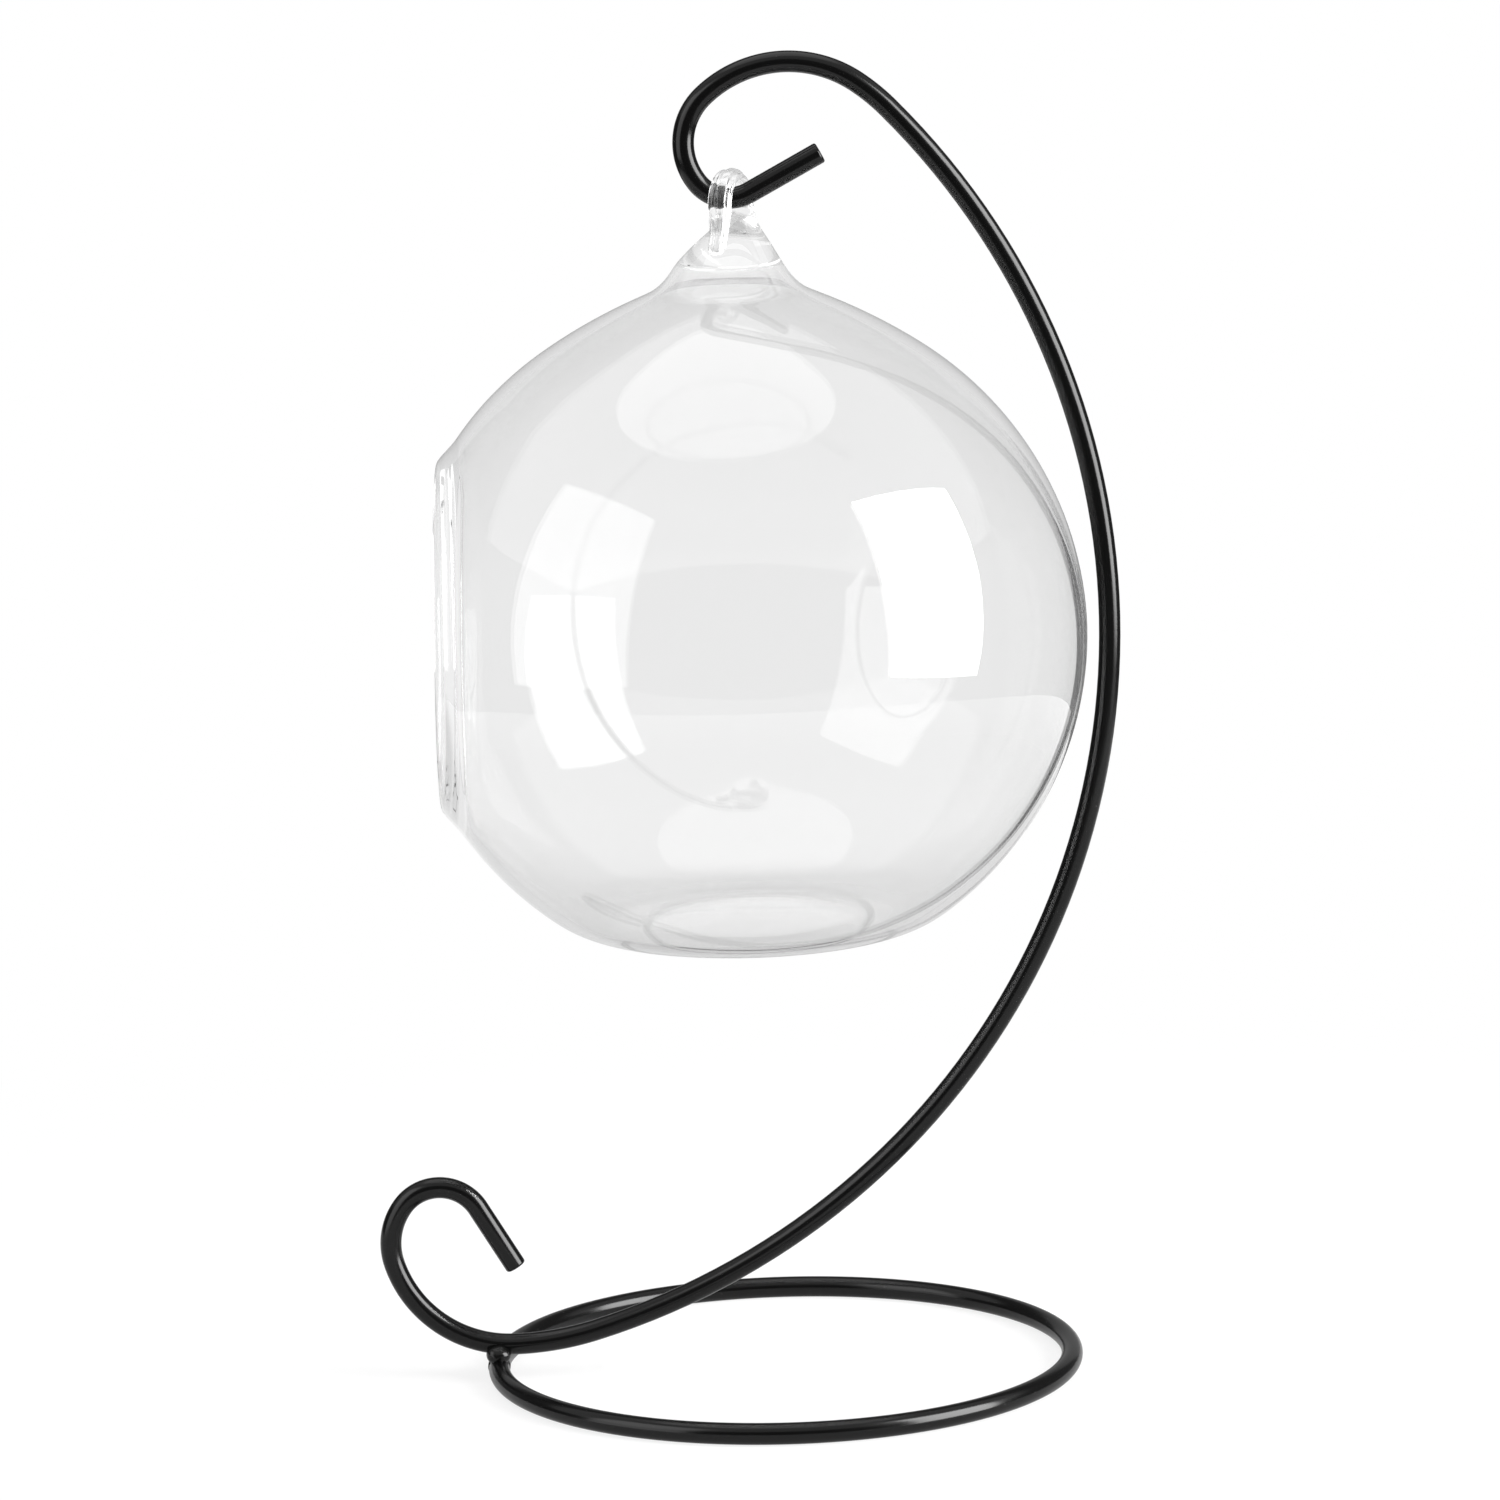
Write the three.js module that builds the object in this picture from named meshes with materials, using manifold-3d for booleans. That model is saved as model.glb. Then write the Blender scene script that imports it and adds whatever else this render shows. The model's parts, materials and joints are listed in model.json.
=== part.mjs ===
// Hanging glass vase: a blown globe with a side mouth, hung by its glass loop on a bent-wire stand.
// Millimetres, +Z up. The wire lies in the XZ plane, and the mouth of the globe looks towards -X.
// The origin is on the table, at the middle of the stand's width.
import * as THREE from "three";
import { mergeVertices } from "three/addons/utils/BufferGeometryUtils.js";
import Module from "manifold-3d";

// Wire stand
const WIRE_DIAMETER = 3.75;
const BASE_RING_RADIUS = 50.8; // centreline
const RING_FOOT_INSET = 2.5; // the arm's lowest point lies this far inside the ring's left edge
const RING_SEAM_LENGTH = 2.4; // butt weld that closes the ring, under the arm
const WELD_GAP = 0.3; // between welded pieces
const WELD_BEAD_RADIUS = 2.3;
const WELD_BEAD_RAISE = 0.4; // height of a bead's middle above the ring's top

// Bends of the arm, from its lowest point up to the hook: radius of the centreline, and sweep in degrees
const FOOT_RADIUS = 53;
const FOOT_SWEEP = 16.2;
const ARM_RADIUS = 130;
const SHOULDER_RADIUS = 36;
const SHOULDER_SWEEP = 11;
const CROWN_RADIUS = 21.2;
const CROWN_SWEEP = 77.6;
const CHEEK_RADIUS = 11.1;
const CHEEK_SWEEP = 84.2;
const HOOK_RADIUS = 7;
const HOOK_TIP_ANGLE = 28; // the tip rises at this angle above the horizontal
const HOOK_TIP_LENGTH = 14.1;

// Bends of the scroll, from the arm's lowest point to the left
const SCROLL_RADIUS = 21.3;
const SCROLL_SWEEP = 73.6;
const CURL_RADIUS = 11.7;
const CURL_SWEEP = 53.4;
const CURL_END_RADIUS = 8;
const CURL_END_SWEEP = 112.4;
const CURL_TIP_LENGTH = 12.6;

// Glass globe
const GLOBE_RADIUS = 60;
const GLASS_WALL = 1.8;
const ARM_CLEARANCE = 2; // air between the globe and the arm
const MOUTH_RADIUS = 28.1; // clear opening
const LIP_DIAMETER = 3.5; // fire-polished bead round the mouth
const MOUTH_TILT = 1.35; // degrees: the mouth looks a little upwards
const BASE_CUT = 7.6; // height that the flat base takes off the ball
const BASE_ROUNDING = 20;
const STANDING_RING_WIDTH = 4.5;
const PUNT_RISE = 2; // hollow under the base
const DRAW_ANGLE = 34; // degrees from the upright axis to where the ball is drawn up towards the neck
const DRAWN_RADIUS = 100; // the flatter curve of the drawn glass
const NECK_SPREAD = 14.5; // radius where the neck's flare leaves the drawn glass
const NECK_SLOPE = 30; // degrees from upright at the rim
const NECK_RISE = 4.7; // rim above the top of the round ball
const NECK_RADIUS = 9.4;
const NECK_WALL = 1.2;

// Solid glass knob that seals the neck, and the loop drawn out of it
const KNOB_HEIGHT = 8.3;
const KNOB_TOP_RADIUS = 2.6;
const KNOB_BULGE = 1.05; // 1 is a straight cone
const KNOB_LEAN_CURVE = 1.3; // 1 leans evenly from the neck to the top
const LOOP_EYE_RADIUS = 3.4;
const LOOP_ROD_THICKNESS = 3; // in the plane of the loop
const LOOP_ROD_WIDTH = 4.3; // along the hook
const LOOP_RISE = 2; // from the knob's top to the middle of the eye
const LOOP_TIP_DROP = 8.4; // from the middle of the eye to the end of the tip
const LOOP_YAW = 22; // turn of the loop about the upright axis, degrees
const FUSE_GAP = 0.3; // between the loop's tip and the knob
const HANG_GAP = 0.3; // between the loop and the hook that carries it

// Fineness of the facets
const WIRE_SIDES = 12;
const BEND_STEP = 9; // degrees of bend for each facet of a tight bend
const ARM_STEP = 4; // degrees, on the wide bend of the arm
const RING_FACETS = 60;
const SEAM_FACETS = 2;
const BALL_FACETS = 44;
const BALL_STEP = 9; // degrees
const FLARE_STEPS = 5;
const LIP_FACETS = 8;
const ROD_SIDES = 12;
const LOOP_STEPS = 10;
const KNOB_FACETS = 24;
const KNOB_LEVELS = 8;
const BEAD_FACETS = 14;

const wireRadius = WIRE_DIAMETER / 2;
const wireFlat = wireRadius * Math.cos(Math.PI / WIRE_SIDES); // from the wire's axis to its facets
const radians = THREE.MathUtils.degToRad;
const fullTurn = 360; // degrees
const mergeWithin = 1e-4; // points closer than this are one point

const wasm = await Module();
wasm.setup();

// A closed geometry as a solid for cutting and joining.
function solidOf(geometry) {
  const bare = new THREE.BufferGeometry();
  bare.setAttribute("position", geometry.getAttribute("position"));
  bare.setIndex(geometry.getIndex());
  const merged = mergeVertices(bare, mergeWithin);
  const index = Array.from(merged.index.array);
  const triVerts = [];
  for (let i = 0; i < index.length; i += 3) {
    const [a, b, c] = index.slice(i, i + 3);
    if (a !== b && b !== c && c !== a) triVerts.push(a, b, c);
  }
  return new wasm.Manifold(
    new wasm.Mesh({
      numProp: 3,
      vertProperties: merged.attributes.position.array,
      triVerts: new Uint32Array(triVerts),
    }),
  );
}

// The geometry of a solid that was cut or joined.
function geometryOf(solid) {
  const mesh = solid.getMesh();
  const geometry = new THREE.BufferGeometry();
  geometry.setAttribute("position", new THREE.BufferAttribute(mesh.vertProperties, 3));
  geometry.setIndex(new THREE.BufferAttribute(mesh.triVerts, 1));
  return geometry;
}

// A solid turned about the Z axis. The profile runs from its lowest point on the axis, round the outside.
function turned(profile, facets) {
  const geometry = new THREE.LatheGeometry(profile, facets);
  return geometry.rotateX(Math.PI / 2);
}

// Where a bend of this radius leads, from one heading to another, in radians.
function bendVector(radius, from, to) {
  return new THREE.Vector2(
    radius * (Math.sin(to) - Math.sin(from)),
    radius * (Math.cos(from) - Math.cos(to)),
  );
}

// Points and headings along a wire that starts at the origin and turns through a list of bends.
// side is 1 for a wire that sets off to the right and -1 for its mirror image to the left.
function wireCourse(bends, tipLength, side) {
  const course = [{ at: new THREE.Vector2(), heading: 0 }];
  for (const { radius, sweep, step } of bends) {
    const { at, heading } = course[course.length - 1];
    const count = Math.max(1, Math.ceil(sweep / step));
    for (let i = 1; i <= count; i++) {
      const to = heading + radians((sweep * i) / count);
      course.push({ at: bendVector(radius, heading, to).add(at), heading: to });
    }
  }
  const { at, heading } = course[course.length - 1];
  const along = new THREE.Vector2(Math.cos(heading), Math.sin(heading));
  course.push({ at: at.clone().addScaledVector(along, tipLength), heading });
  return course.map(({ at: p, heading: h }) => ({
    at: new THREE.Vector3(side * p.x, 0, p.y),
    along: new THREE.Vector3(side * Math.cos(h), 0, Math.sin(h)),
  }));
}

// A path that is asked for its points only at its stations, which lie closer where it bends tightly.
class StationPath extends THREE.Curve {
  constructor(stations) {
    super();
    this.stations = stations;
  }

  station(t) {
    return this.stations[Math.round(t * (this.stations.length - 1))];
  }

  getPoint(t) {
    return this.station(t).at.clone();
  }

  getTangent(t) {
    return this.station(t).along.clone();
  }

  getUtoTmapping(u) {
    return u;
  }
}

// An oval rod along a path of stations. inPlane is its radius towards the inside of the bends.
function rod(stations, inPlane, across, sides, phase = 0) {
  const outline = [];
  for (let s = 0; s < sides; s++) {
    const angle = (2 * Math.PI * (s + phase)) / sides;
    outline.push(new THREE.Vector2(inPlane * Math.cos(angle), across * Math.sin(angle)));
  }
  return new THREE.ExtrudeGeometry(new THREE.Shape(outline), {
    steps: stations.length - 1,
    extrudePath: new StationPath(stations),
  });
}

// The bends that follow the arm, whose last one turns until the tip rises at its angle.
function hookBends(armEnd) {
  const bends = [
    { radius: SHOULDER_RADIUS, sweep: SHOULDER_SWEEP, step: BEND_STEP },
    { radius: CROWN_RADIUS, sweep: CROWN_SWEEP, step: BEND_STEP },
    { radius: CHEEK_RADIUS, sweep: CHEEK_SWEEP, step: BEND_STEP },
  ];
  const turnedSoFar = armEnd + SHOULDER_SWEEP + CROWN_SWEEP + CHEEK_SWEEP;
  const hookSweep = fullTurn + HOOK_TIP_ANGLE - turnedSoFar;
  return [...bends, { radius: HOOK_RADIUS, sweep: hookSweep, step: BEND_STEP }];
}

// Heights in the vase's own frame, whose origin is the middle of the globe.
const neckRim = GLOBE_RADIUS + NECK_RISE;
const knobTop = neckRim + KNOB_HEIGHT;
const eyeCentre = knobTop + LOOP_RISE;
const hangPoint = eyeCentre + LOOP_EYE_RADIUS - HANG_GAP - wireRadius; // axis of the hook's wire

// The hook's lowest point, measured from the arm's lowest point, when the arm's bend ends at this heading.
function hookLowest(armEnd) {
  const bends = [
    { radius: FOOT_RADIUS, sweep: FOOT_SWEEP },
    { radius: ARM_RADIUS, sweep: armEnd - FOOT_SWEEP },
    ...hookBends(armEnd),
  ];
  const point = new THREE.Vector2();
  let heading = 0;
  for (const { radius, sweep } of bends) {
    const to = Math.min(heading + sweep, fullTurn);
    point.add(bendVector(radius, radians(heading), radians(to)));
    heading = to;
  }
  return point;
}

// Air between the globe and the arm when the arm's bend ends at this heading.
function armAir(armEnd) {
  const foot = radians(FOOT_SWEEP);
  const armCentre = bendVector(FOOT_RADIUS, 0, foot).add(
    new THREE.Vector2(-ARM_RADIUS * Math.sin(foot), ARM_RADIUS * Math.cos(foot)),
  );
  const globeCentre = hookLowest(armEnd).sub(new THREE.Vector2(0, hangPoint));
  return ARM_RADIUS - wireRadius - GLOBE_RADIUS - globeCentre.distanceTo(armCentre);
}

// The arm is bent just far enough round for the hanging globe to clear it. Its bend ends somewhere between
// straight up and straight back, and each pass halves the range.
function armEndHeading() {
  let low = 90;
  let high = 180;
  const passes = 50;
  for (let i = 0; i < passes; i++) {
    const middle = (low + high) / 2;
    if (armAir(middle) < ARM_CLEARANCE) low = middle;
    else high = middle;
  }
  return high;
}

const armEnd = armEndHeading();
const upRight = wireCourse(
  [
    { radius: FOOT_RADIUS, sweep: FOOT_SWEEP, step: BEND_STEP },
    { radius: ARM_RADIUS, sweep: armEnd - FOOT_SWEEP, step: ARM_STEP },
    ...hookBends(armEnd),
  ],
  HOOK_TIP_LENGTH,
  1,
);
const upLeft = wireCourse(
  [
    { radius: SCROLL_RADIUS, sweep: SCROLL_SWEEP, step: BEND_STEP },
    { radius: CURL_RADIUS, sweep: CURL_SWEEP, step: BEND_STEP },
    { radius: CURL_END_RADIUS, sweep: CURL_END_SWEEP, step: BEND_STEP },
  ],
  CURL_TIP_LENGTH,
  -1,
);

// One bent wire from the curled tip, through the arm's lowest point, to the tip of the hook.
const fromCurl = upLeft.map(({ at, along }) => ({ at, along: along.clone().negate() })).reverse();
const armCourse = [...fromCurl, ...upRight.slice(1)];

// The base ring is closed by a butt weld that lies under the arm, at the ring's left edge.
const seamHalfAngle = RING_SEAM_LENGTH / 2 / BASE_RING_RADIUS;

function ringStations(from, to, facets) {
  const stations = [];
  for (let i = 0; i <= facets; i++) {
    const angle = from + ((to - from) * i) / facets;
    const out = new THREE.Vector3(Math.cos(angle), Math.sin(angle), 0);
    stations.push({
      at: out.clone().multiplyScalar(BASE_RING_RADIUS),
      along: new THREE.Vector3(-out.y, out.x, 0),
    });
  }
  return stations;
}

const ringCourse = ringStations(Math.PI + seamHalfAngle, 3 * Math.PI - seamHalfAngle, RING_FACETS);
const seamCourse = ringStations(Math.PI - seamHalfAngle, Math.PI + seamHalfAngle, SEAM_FACETS);

// Places of the stand's pieces, from the table up
const ringHeight = wireFlat; // the ring stands on its lowest facets
const armHeight = 2 * wireFlat + WELD_GAP + wireRadius; // axis of the arm at its lowest point
const wireEnds = [...upLeft, ...upRight].map(({ at }) => at.x);
const armX = -(Math.min(...wireEnds) + Math.max(...wireEnds)) / 2; // centres the stand on the origin
const ringX = armX - RING_FOOT_INSET + BASE_RING_RADIUS;

const flatUnder = 0.5; // half a side's turn puts a facet, not an edge, under the ring

function armWire(radius) {
  return rod(armCourse, radius, radius, WIRE_SIDES).translate(armX, 0, armHeight);
}

function ringWire(course) {
  const ring = rod(course, wireRadius, wireRadius, WIRE_SIDES, flatUnder);
  return ring.translate(ringX, 0, ringHeight);
}

// A weld bead in the corner between the arm and the ring, on the front (-1) or rear (1) of the arm.
function weldBead(side) {
  const bead = new THREE.SphereGeometry(WELD_BEAD_RADIUS, BEAD_FACETS, BEAD_FACETS / 2);
  const ringTop = 2 * wireFlat;
  const beadY = side * (WELD_BEAD_RADIUS + WELD_GAP / 2);
  bead.translate(ringX - BASE_RING_RADIUS, beadY, ringTop + WELD_BEAD_RAISE);
  const clearOfWire = wireRadius + WELD_GAP;
  const ring = new THREE.TorusGeometry(BASE_RING_RADIUS, clearOfWire, WIRE_SIDES, RING_FACETS);
  ring.translate(ringX, 0, ringHeight);
  const pieces = solidOf(bead).subtract(solidOf(armWire(clearOfWire))).subtract(solidOf(ring)).decompose();
  const outer = pieces.reduce((a, b) => (a.volume() > b.volume() ? a : b));
  return geometryOf(outer);
}

// Points along an arc of a profile, about a centre on the half plane, angles in radians.
function profileArc(centre, radius, from, to) {
  const count = Math.max(2, Math.ceil(THREE.MathUtils.radToDeg(Math.abs(to - from)) / BALL_STEP));
  const points = [];
  for (let i = 0; i <= count; i++) {
    const angle = from + ((to - from) * i) / count;
    points.push(
      new THREE.Vector2(centre.x + radius * Math.cos(angle), centre.y + radius * Math.sin(angle)),
    );
  }
  return points;
}

// The base: a hollow punt, a flat ring to stand on, and a rounding that runs into the ball.
// inset is 0 on the outside of the glass and the wall on the inside.
function baseProfile(inset) {
  const baseDepth = GLOBE_RADIUS - BASE_CUT;
  const roundCentre = new THREE.Vector2(0, BASE_ROUNDING - baseDepth);
  roundCentre.x = Math.sqrt((GLOBE_RADIUS - BASE_ROUNDING) ** 2 - roundCentre.y ** 2);
  const puntRadius = roundCentre.x - STANDING_RING_WIDTH;
  const puntArc = (puntRadius ** 2 + PUNT_RISE ** 2) / (2 * PUNT_RISE);
  const puntCentre = new THREE.Vector2(0, PUNT_RISE - baseDepth - puntArc);
  const puntEdge = Math.acos(puntRadius / puntArc);
  const lift = new THREE.Vector2(0, inset);
  const punt = profileArc(puntCentre, puntArc, Math.PI / 2, puntEdge).map((p) => p.add(lift));
  const meetsBall = Math.atan2(roundCentre.y, roundCentre.x);
  const rounding = profileArc(roundCentre, BASE_ROUNDING - inset, -Math.PI / 2, meetsBall);
  punt[0].x = 0;
  return { points: [...punt, ...rounding], meetsBall };
}

// One face of the glass, from the middle of the base to the neck's rim.
function wallProfile(inset, rimRadius) {
  const base = baseProfile(inset);
  const drawStarts = radians(90 - DRAW_ANGLE);
  const ball = profileArc(new THREE.Vector2(), GLOBE_RADIUS - inset, base.meetsBall, drawStarts);
  const drawCentre = new THREE.Vector2(Math.cos(drawStarts), Math.sin(drawStarts));
  drawCentre.multiplyScalar(GLOBE_RADIUS - DRAWN_RADIUS);
  const drawEnds = Math.acos((NECK_SPREAD - drawCentre.x) / DRAWN_RADIUS);
  const drawn = profileArc(drawCentre, DRAWN_RADIUS - inset, drawStarts, drawEnds);
  const flare = neckFlare(drawn.at(-1), drawEnds, rimRadius);
  return [...base.points, ...ball.slice(1), ...drawn.slice(1), ...flare.slice(1)];
}

// The blown globe: ball, base and flared neck, open at the neck's rim.
function globeShell() {
  const outside = wallProfile(0, NECK_RADIUS);
  const inside = wallProfile(GLASS_WALL, NECK_RADIUS - NECK_WALL);
  return turned([...outside, ...inside.reverse()], BALL_FACETS);
}

// The neck's outline from foot to rim, smooth at both ends. angle is where the glass faces at the foot.
function neckFlare(foot, angle, rimRadius) {
  const rim = new THREE.Vector2(rimRadius, neckRim);
  const upBall = new THREE.Vector2(-Math.sin(angle), Math.cos(angle));
  const upNeck = new THREE.Vector2(-Math.sin(radians(NECK_SLOPE)), Math.cos(radians(NECK_SLOPE)));
  const reach = rim.clone().sub(foot).cross(upNeck) / upBall.cross(upNeck);
  const corner = foot.clone().addScaledVector(upBall, reach);
  return new THREE.QuadraticBezierCurve(foot, corner, rim).getPoints(FLARE_STEPS);
}

// The globe with its mouth cut through the wall and a round lip on the cut edge.
function glassGlobe() {
  const lipRadius = LIP_DIAMETER / 2;
  const lipRing = MOUTH_RADIUS + lipRadius;
  const midWall = GLOBE_RADIUS - GLASS_WALL / 2;
  const lipX = -Math.sqrt(midWall ** 2 - lipRing ** 2);
  const cutterLength = GLOBE_RADIUS;
  const cutterEnd = lipX + 2 * GLASS_WALL; // inside the wall
  const cutter = new THREE.CylinderGeometry(lipRing, lipRing, cutterLength, BALL_FACETS);
  cutter.rotateZ(Math.PI / 2).translate(cutterEnd - cutterLength / 2, 0, 0);
  const lip = new THREE.TorusGeometry(lipRing, lipRadius, LIP_FACETS, BALL_FACETS);
  lip.rotateY(Math.PI / 2).translate(lipX, 0, 0);
  for (const tilted of [cutter, lip]) tilted.rotateY(radians(MOUTH_TILT));
  return geometryOf(solidOf(globeShell()).subtract(solidOf(cutter)).add(solidOf(lip)));
}

const rodHalfThickness = LOOP_ROD_THICKNESS / 2;
const rodHalfWidth = LOOP_ROD_WIDTH / 2;
const loopRadius = LOOP_EYE_RADIUS + rodHalfThickness;

// Lean and radius of the knob at a share of its height: it narrows and leans back to the loop's root.
function knobAt(share) {
  return {
    lean: loopRadius * share ** KNOB_LEAN_CURVE,
    radius: NECK_RADIUS - (NECK_RADIUS - KNOB_TOP_RADIUS) * share ** KNOB_BULGE,
  };
}

// The knob is turned as an upright cone, and each level is then moved back by its lean.
function neckKnob(swell = 0) {
  const outline = [new THREE.Vector2(0, neckRim)];
  for (let i = 0; i <= KNOB_LEVELS; i++) {
    const share = i / KNOB_LEVELS;
    outline.push(new THREE.Vector2(knobAt(share).radius + swell, neckRim + share * KNOB_HEIGHT));
  }
  outline.push(new THREE.Vector2(0, knobTop));
  const knob = turned(outline, KNOB_FACETS);
  const points = knob.getAttribute("position");
  for (let i = 0; i < points.count; i++) {
    const share = Math.max(0, (points.getZ(i) - neckRim) / KNOB_HEIGHT); // rounding can put the rim below 0
    points.setY(i, points.getY(i) + knobAt(share).lean);
  }
  return knob;
}

// The loop: a rod that rises from the knob's top, bends forward over the hook and is tacked to the knob
// by its drop-shaped tip.
function hangingLoop() {
  const tipHeight = eyeCentre - LOOP_TIP_DROP + rodHalfWidth;
  const knobHere = knobAt((tipHeight - neckRim) / KNOB_HEIGHT);
  const tip = new THREE.Vector3(0, knobHere.lean - knobHere.radius - rodHalfThickness, tipHeight);
  const stations = [
    { at: new THREE.Vector3(0, loopRadius, knobTop), along: new THREE.Vector3(0, 0, 1) },
  ];
  for (let i = 0; i <= LOOP_STEPS; i++) {
    const angle = (Math.PI * i) / LOOP_STEPS;
    const y = loopRadius * Math.cos(angle);
    const z = eyeCentre + loopRadius * Math.sin(angle);
    const along = new THREE.Vector3(0, -Math.sin(angle), Math.cos(angle));
    stations.push({ at: new THREE.Vector3(0, y, z), along });
  }
  const frontTop = stations[stations.length - 1].at;
  stations.push({ at: tip, along: tip.clone().sub(frontTop).normalize() });
  const bent = rod(stations, rodHalfThickness, rodHalfWidth, ROD_SIDES);

  const drop = new THREE.SphereGeometry(1, ROD_SIDES, ROD_SIDES / 2);
  drop.scale(rodHalfWidth, rodHalfThickness, rodHalfWidth).translate(tip.x, tip.y, tip.z);
  const root = new THREE.CylinderGeometry(rodHalfThickness, KNOB_TOP_RADIUS, LOOP_RISE, KNOB_FACETS);
  root.rotateX(Math.PI / 2).translate(0, loopRadius, knobTop + LOOP_RISE / 2);
  const whole = solidOf(bent).add(solidOf(drop)).add(solidOf(root));
  return geometryOf(whole.subtract(solidOf(neckKnob(FUSE_GAP))));
}

// Materials
const blackCoat = () => new THREE.MeshStandardMaterial({ color: 0x151515, roughness: 0.42, metalness: 0.1 });
const clearGlass = () =>
  new THREE.MeshStandardMaterial({
    color: 0xf2f5f5,
    roughness: 0.03,
    metalness: 0,
    transparent: true,
    opacity: 0.25,
  });

function piece(name, geometry, material) {
  geometry.computeVertexNormals();
  const mesh = new THREE.Mesh(geometry, material);
  mesh.name = name;
  return mesh;
}

const stand = new THREE.Group();
stand.add(
  piece("arm_wire", armWire(wireRadius), blackCoat()),
  piece("base_ring", ringWire(ringCourse), blackCoat()),
  piece("ring_seam_weld", ringWire(seamCourse), blackCoat()),
  piece("weld_bead_front", weldBead(-1), blackCoat()),
  piece("weld_bead_rear", weldBead(1), blackCoat()),
);

const hanger = new THREE.Group();
hanger.add(
  piece("neck_knob", neckKnob(), clearGlass()),
  piece("hanging_loop", hangingLoop(), clearGlass()),
);
hanger.rotation.z = -radians(LOOP_YAW); // the loop's front strand stands to the left of its root

const vase = new THREE.Group();
vase.add(piece("glass_globe", glassGlobe(), clearGlass()), hanger);
const hookPoint = hookLowest(armEnd);
vase.position.set(armX + hookPoint.x, 0, armHeight + hookPoint.y - hangPoint);

const part = new THREE.Group();
part.add(stand, vase);
export default part;
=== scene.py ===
import json
import math

import bmesh
import bpy
from mathutils import Matrix, Vector, noise


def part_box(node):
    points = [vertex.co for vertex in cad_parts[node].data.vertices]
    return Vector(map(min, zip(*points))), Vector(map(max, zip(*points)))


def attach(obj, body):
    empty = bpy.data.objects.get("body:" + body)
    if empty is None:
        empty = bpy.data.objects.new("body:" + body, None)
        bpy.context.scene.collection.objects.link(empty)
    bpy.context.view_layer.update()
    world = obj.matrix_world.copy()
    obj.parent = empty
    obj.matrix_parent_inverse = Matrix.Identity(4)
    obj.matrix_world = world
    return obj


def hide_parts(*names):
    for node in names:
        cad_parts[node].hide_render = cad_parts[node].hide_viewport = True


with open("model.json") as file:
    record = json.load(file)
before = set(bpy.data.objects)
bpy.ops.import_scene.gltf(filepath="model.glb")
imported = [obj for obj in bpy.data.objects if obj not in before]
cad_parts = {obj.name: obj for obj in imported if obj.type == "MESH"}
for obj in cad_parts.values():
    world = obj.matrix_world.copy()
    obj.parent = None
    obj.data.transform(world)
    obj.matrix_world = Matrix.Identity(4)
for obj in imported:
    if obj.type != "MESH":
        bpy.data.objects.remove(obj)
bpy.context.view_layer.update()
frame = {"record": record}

# Hanging glass vase: a blown globe with a side mouth, hung by its glass loop on a bent-wire stand.
# Metres, +Z up. The wire lies in the XZ plane, and the mouth looks towards -X.

# Wire stand
WIRE_RADIUS = 0.001875
WIRE_SIDES = 32
BEND_STEP = 1.5  # degrees of bend for each facet
ARM_BENDS = [  # from the arm's lowest point up to the hook: radius, and sweep in degrees
    (0.053, 16.2),
    (0.130, 117.71),
    (0.036, 11.0),
    (0.0212, 77.6),
    (0.0111, 84.2),
    (0.007, 81.29),
]
HOOK_TIP_LENGTH = 0.0141
SCROLL_BENDS = [  # from the arm's lowest point to the left
    (0.0213, 73.6),
    (0.0117, 53.4),
    (0.008, 112.4),
]
CURL_TIP_LENGTH = 0.0126
CUT_END_ROUNDING = 0.0004  # the coat rounds the cut ends
BASE_RING_RADIUS = 0.0508
RING_STEPS = 180
SEAM_LENGTH = 0.0030
SEAM_STEPS = 8
SEAM_SWELL = 0.00012  # the butt weld stands proud of the wire
SEAM_ROUNDING = 4 * SEAM_SWELL
BEAD_LUMPS = 0.00022  # height of the lumps on a weld bead
LUMPS_PER_METRE = 700  # one lump is about 1.4 mm across
BEAD_SHIFT = 1000  # gives the two beads different lumps

# Glass vase, in its own frame: the origin is the middle of the globe
GLOBE_RADIUS = 0.060
GLASS_WALL = 0.0018
BASE_CUT = 0.0076
BASE_ROUNDING = 0.020
STANDING_RING_WIDTH = 0.0045
PUNT_RISE = 0.0020
MOUTH_RADIUS = 0.0281
LIP_RADIUS = 0.00175
LIP_GAP = 2.2 * LIP_RADIUS  # from the lip's middle to where the walls of the ball run into its round
LIP_TURNS = (-15, 20, 50, 80)  # degrees: rows round the lip, from outside the ball up to its crest
MOUTH_TILT = 1.35  # degrees: the mouth looks a little upwards
DRAW_ANGLE = 34  # degrees from the upright axis to where the ball is drawn up towards the neck
DRAWN_RADIUS = 0.100  # the flatter curve of the drawn glass
NECK_SPREAD = 0.0145
NECK_SLOPE = 30  # degrees from upright at the rim
NECK_RISE = 0.0047
NECK_RADIUS = 0.0094
NECK_WALL = 0.0012
PLUG_ROUNDING = 0.0004  # between the bore and the underside of the knob
PLUG_RINGS = (0.93, 0.8, 0.5, 0.25, 0)  # rings of that underside, as shares of the bore
KNOB_HEIGHT = 0.0083
KNOB_TOP_RADIUS = 0.0026
KNOB_BULGE = 1.05  # 1 is a straight cone
ROOT_SOFTNESS = 0.7  # how far the knob bends upright where the rod is drawn out of it
ROOT_CURVE = 4  # the higher it is, the nearer to the rod that bend begins
KNOB_LEAN_CURVE = 1.3  # 1 leans evenly from the neck to the top
LOOP_EYE_RADIUS = 0.0034
ROD_HALF_THICKNESS = 0.0015
ROD_HALF_WIDTH = 0.00215
LOOP_RISE = 0.0020
INSIDE_FLATNESS = 0.8  # the bend flattens the rod on its inside, to this share of its half thickness
ROD_FLUTES = 5  # grooves that drawing leaves along the rod
FLUTE_DEPTH = 0.22  # as a share of the rod's radius
LOOP_STEPS = 24  # round the eye
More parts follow.
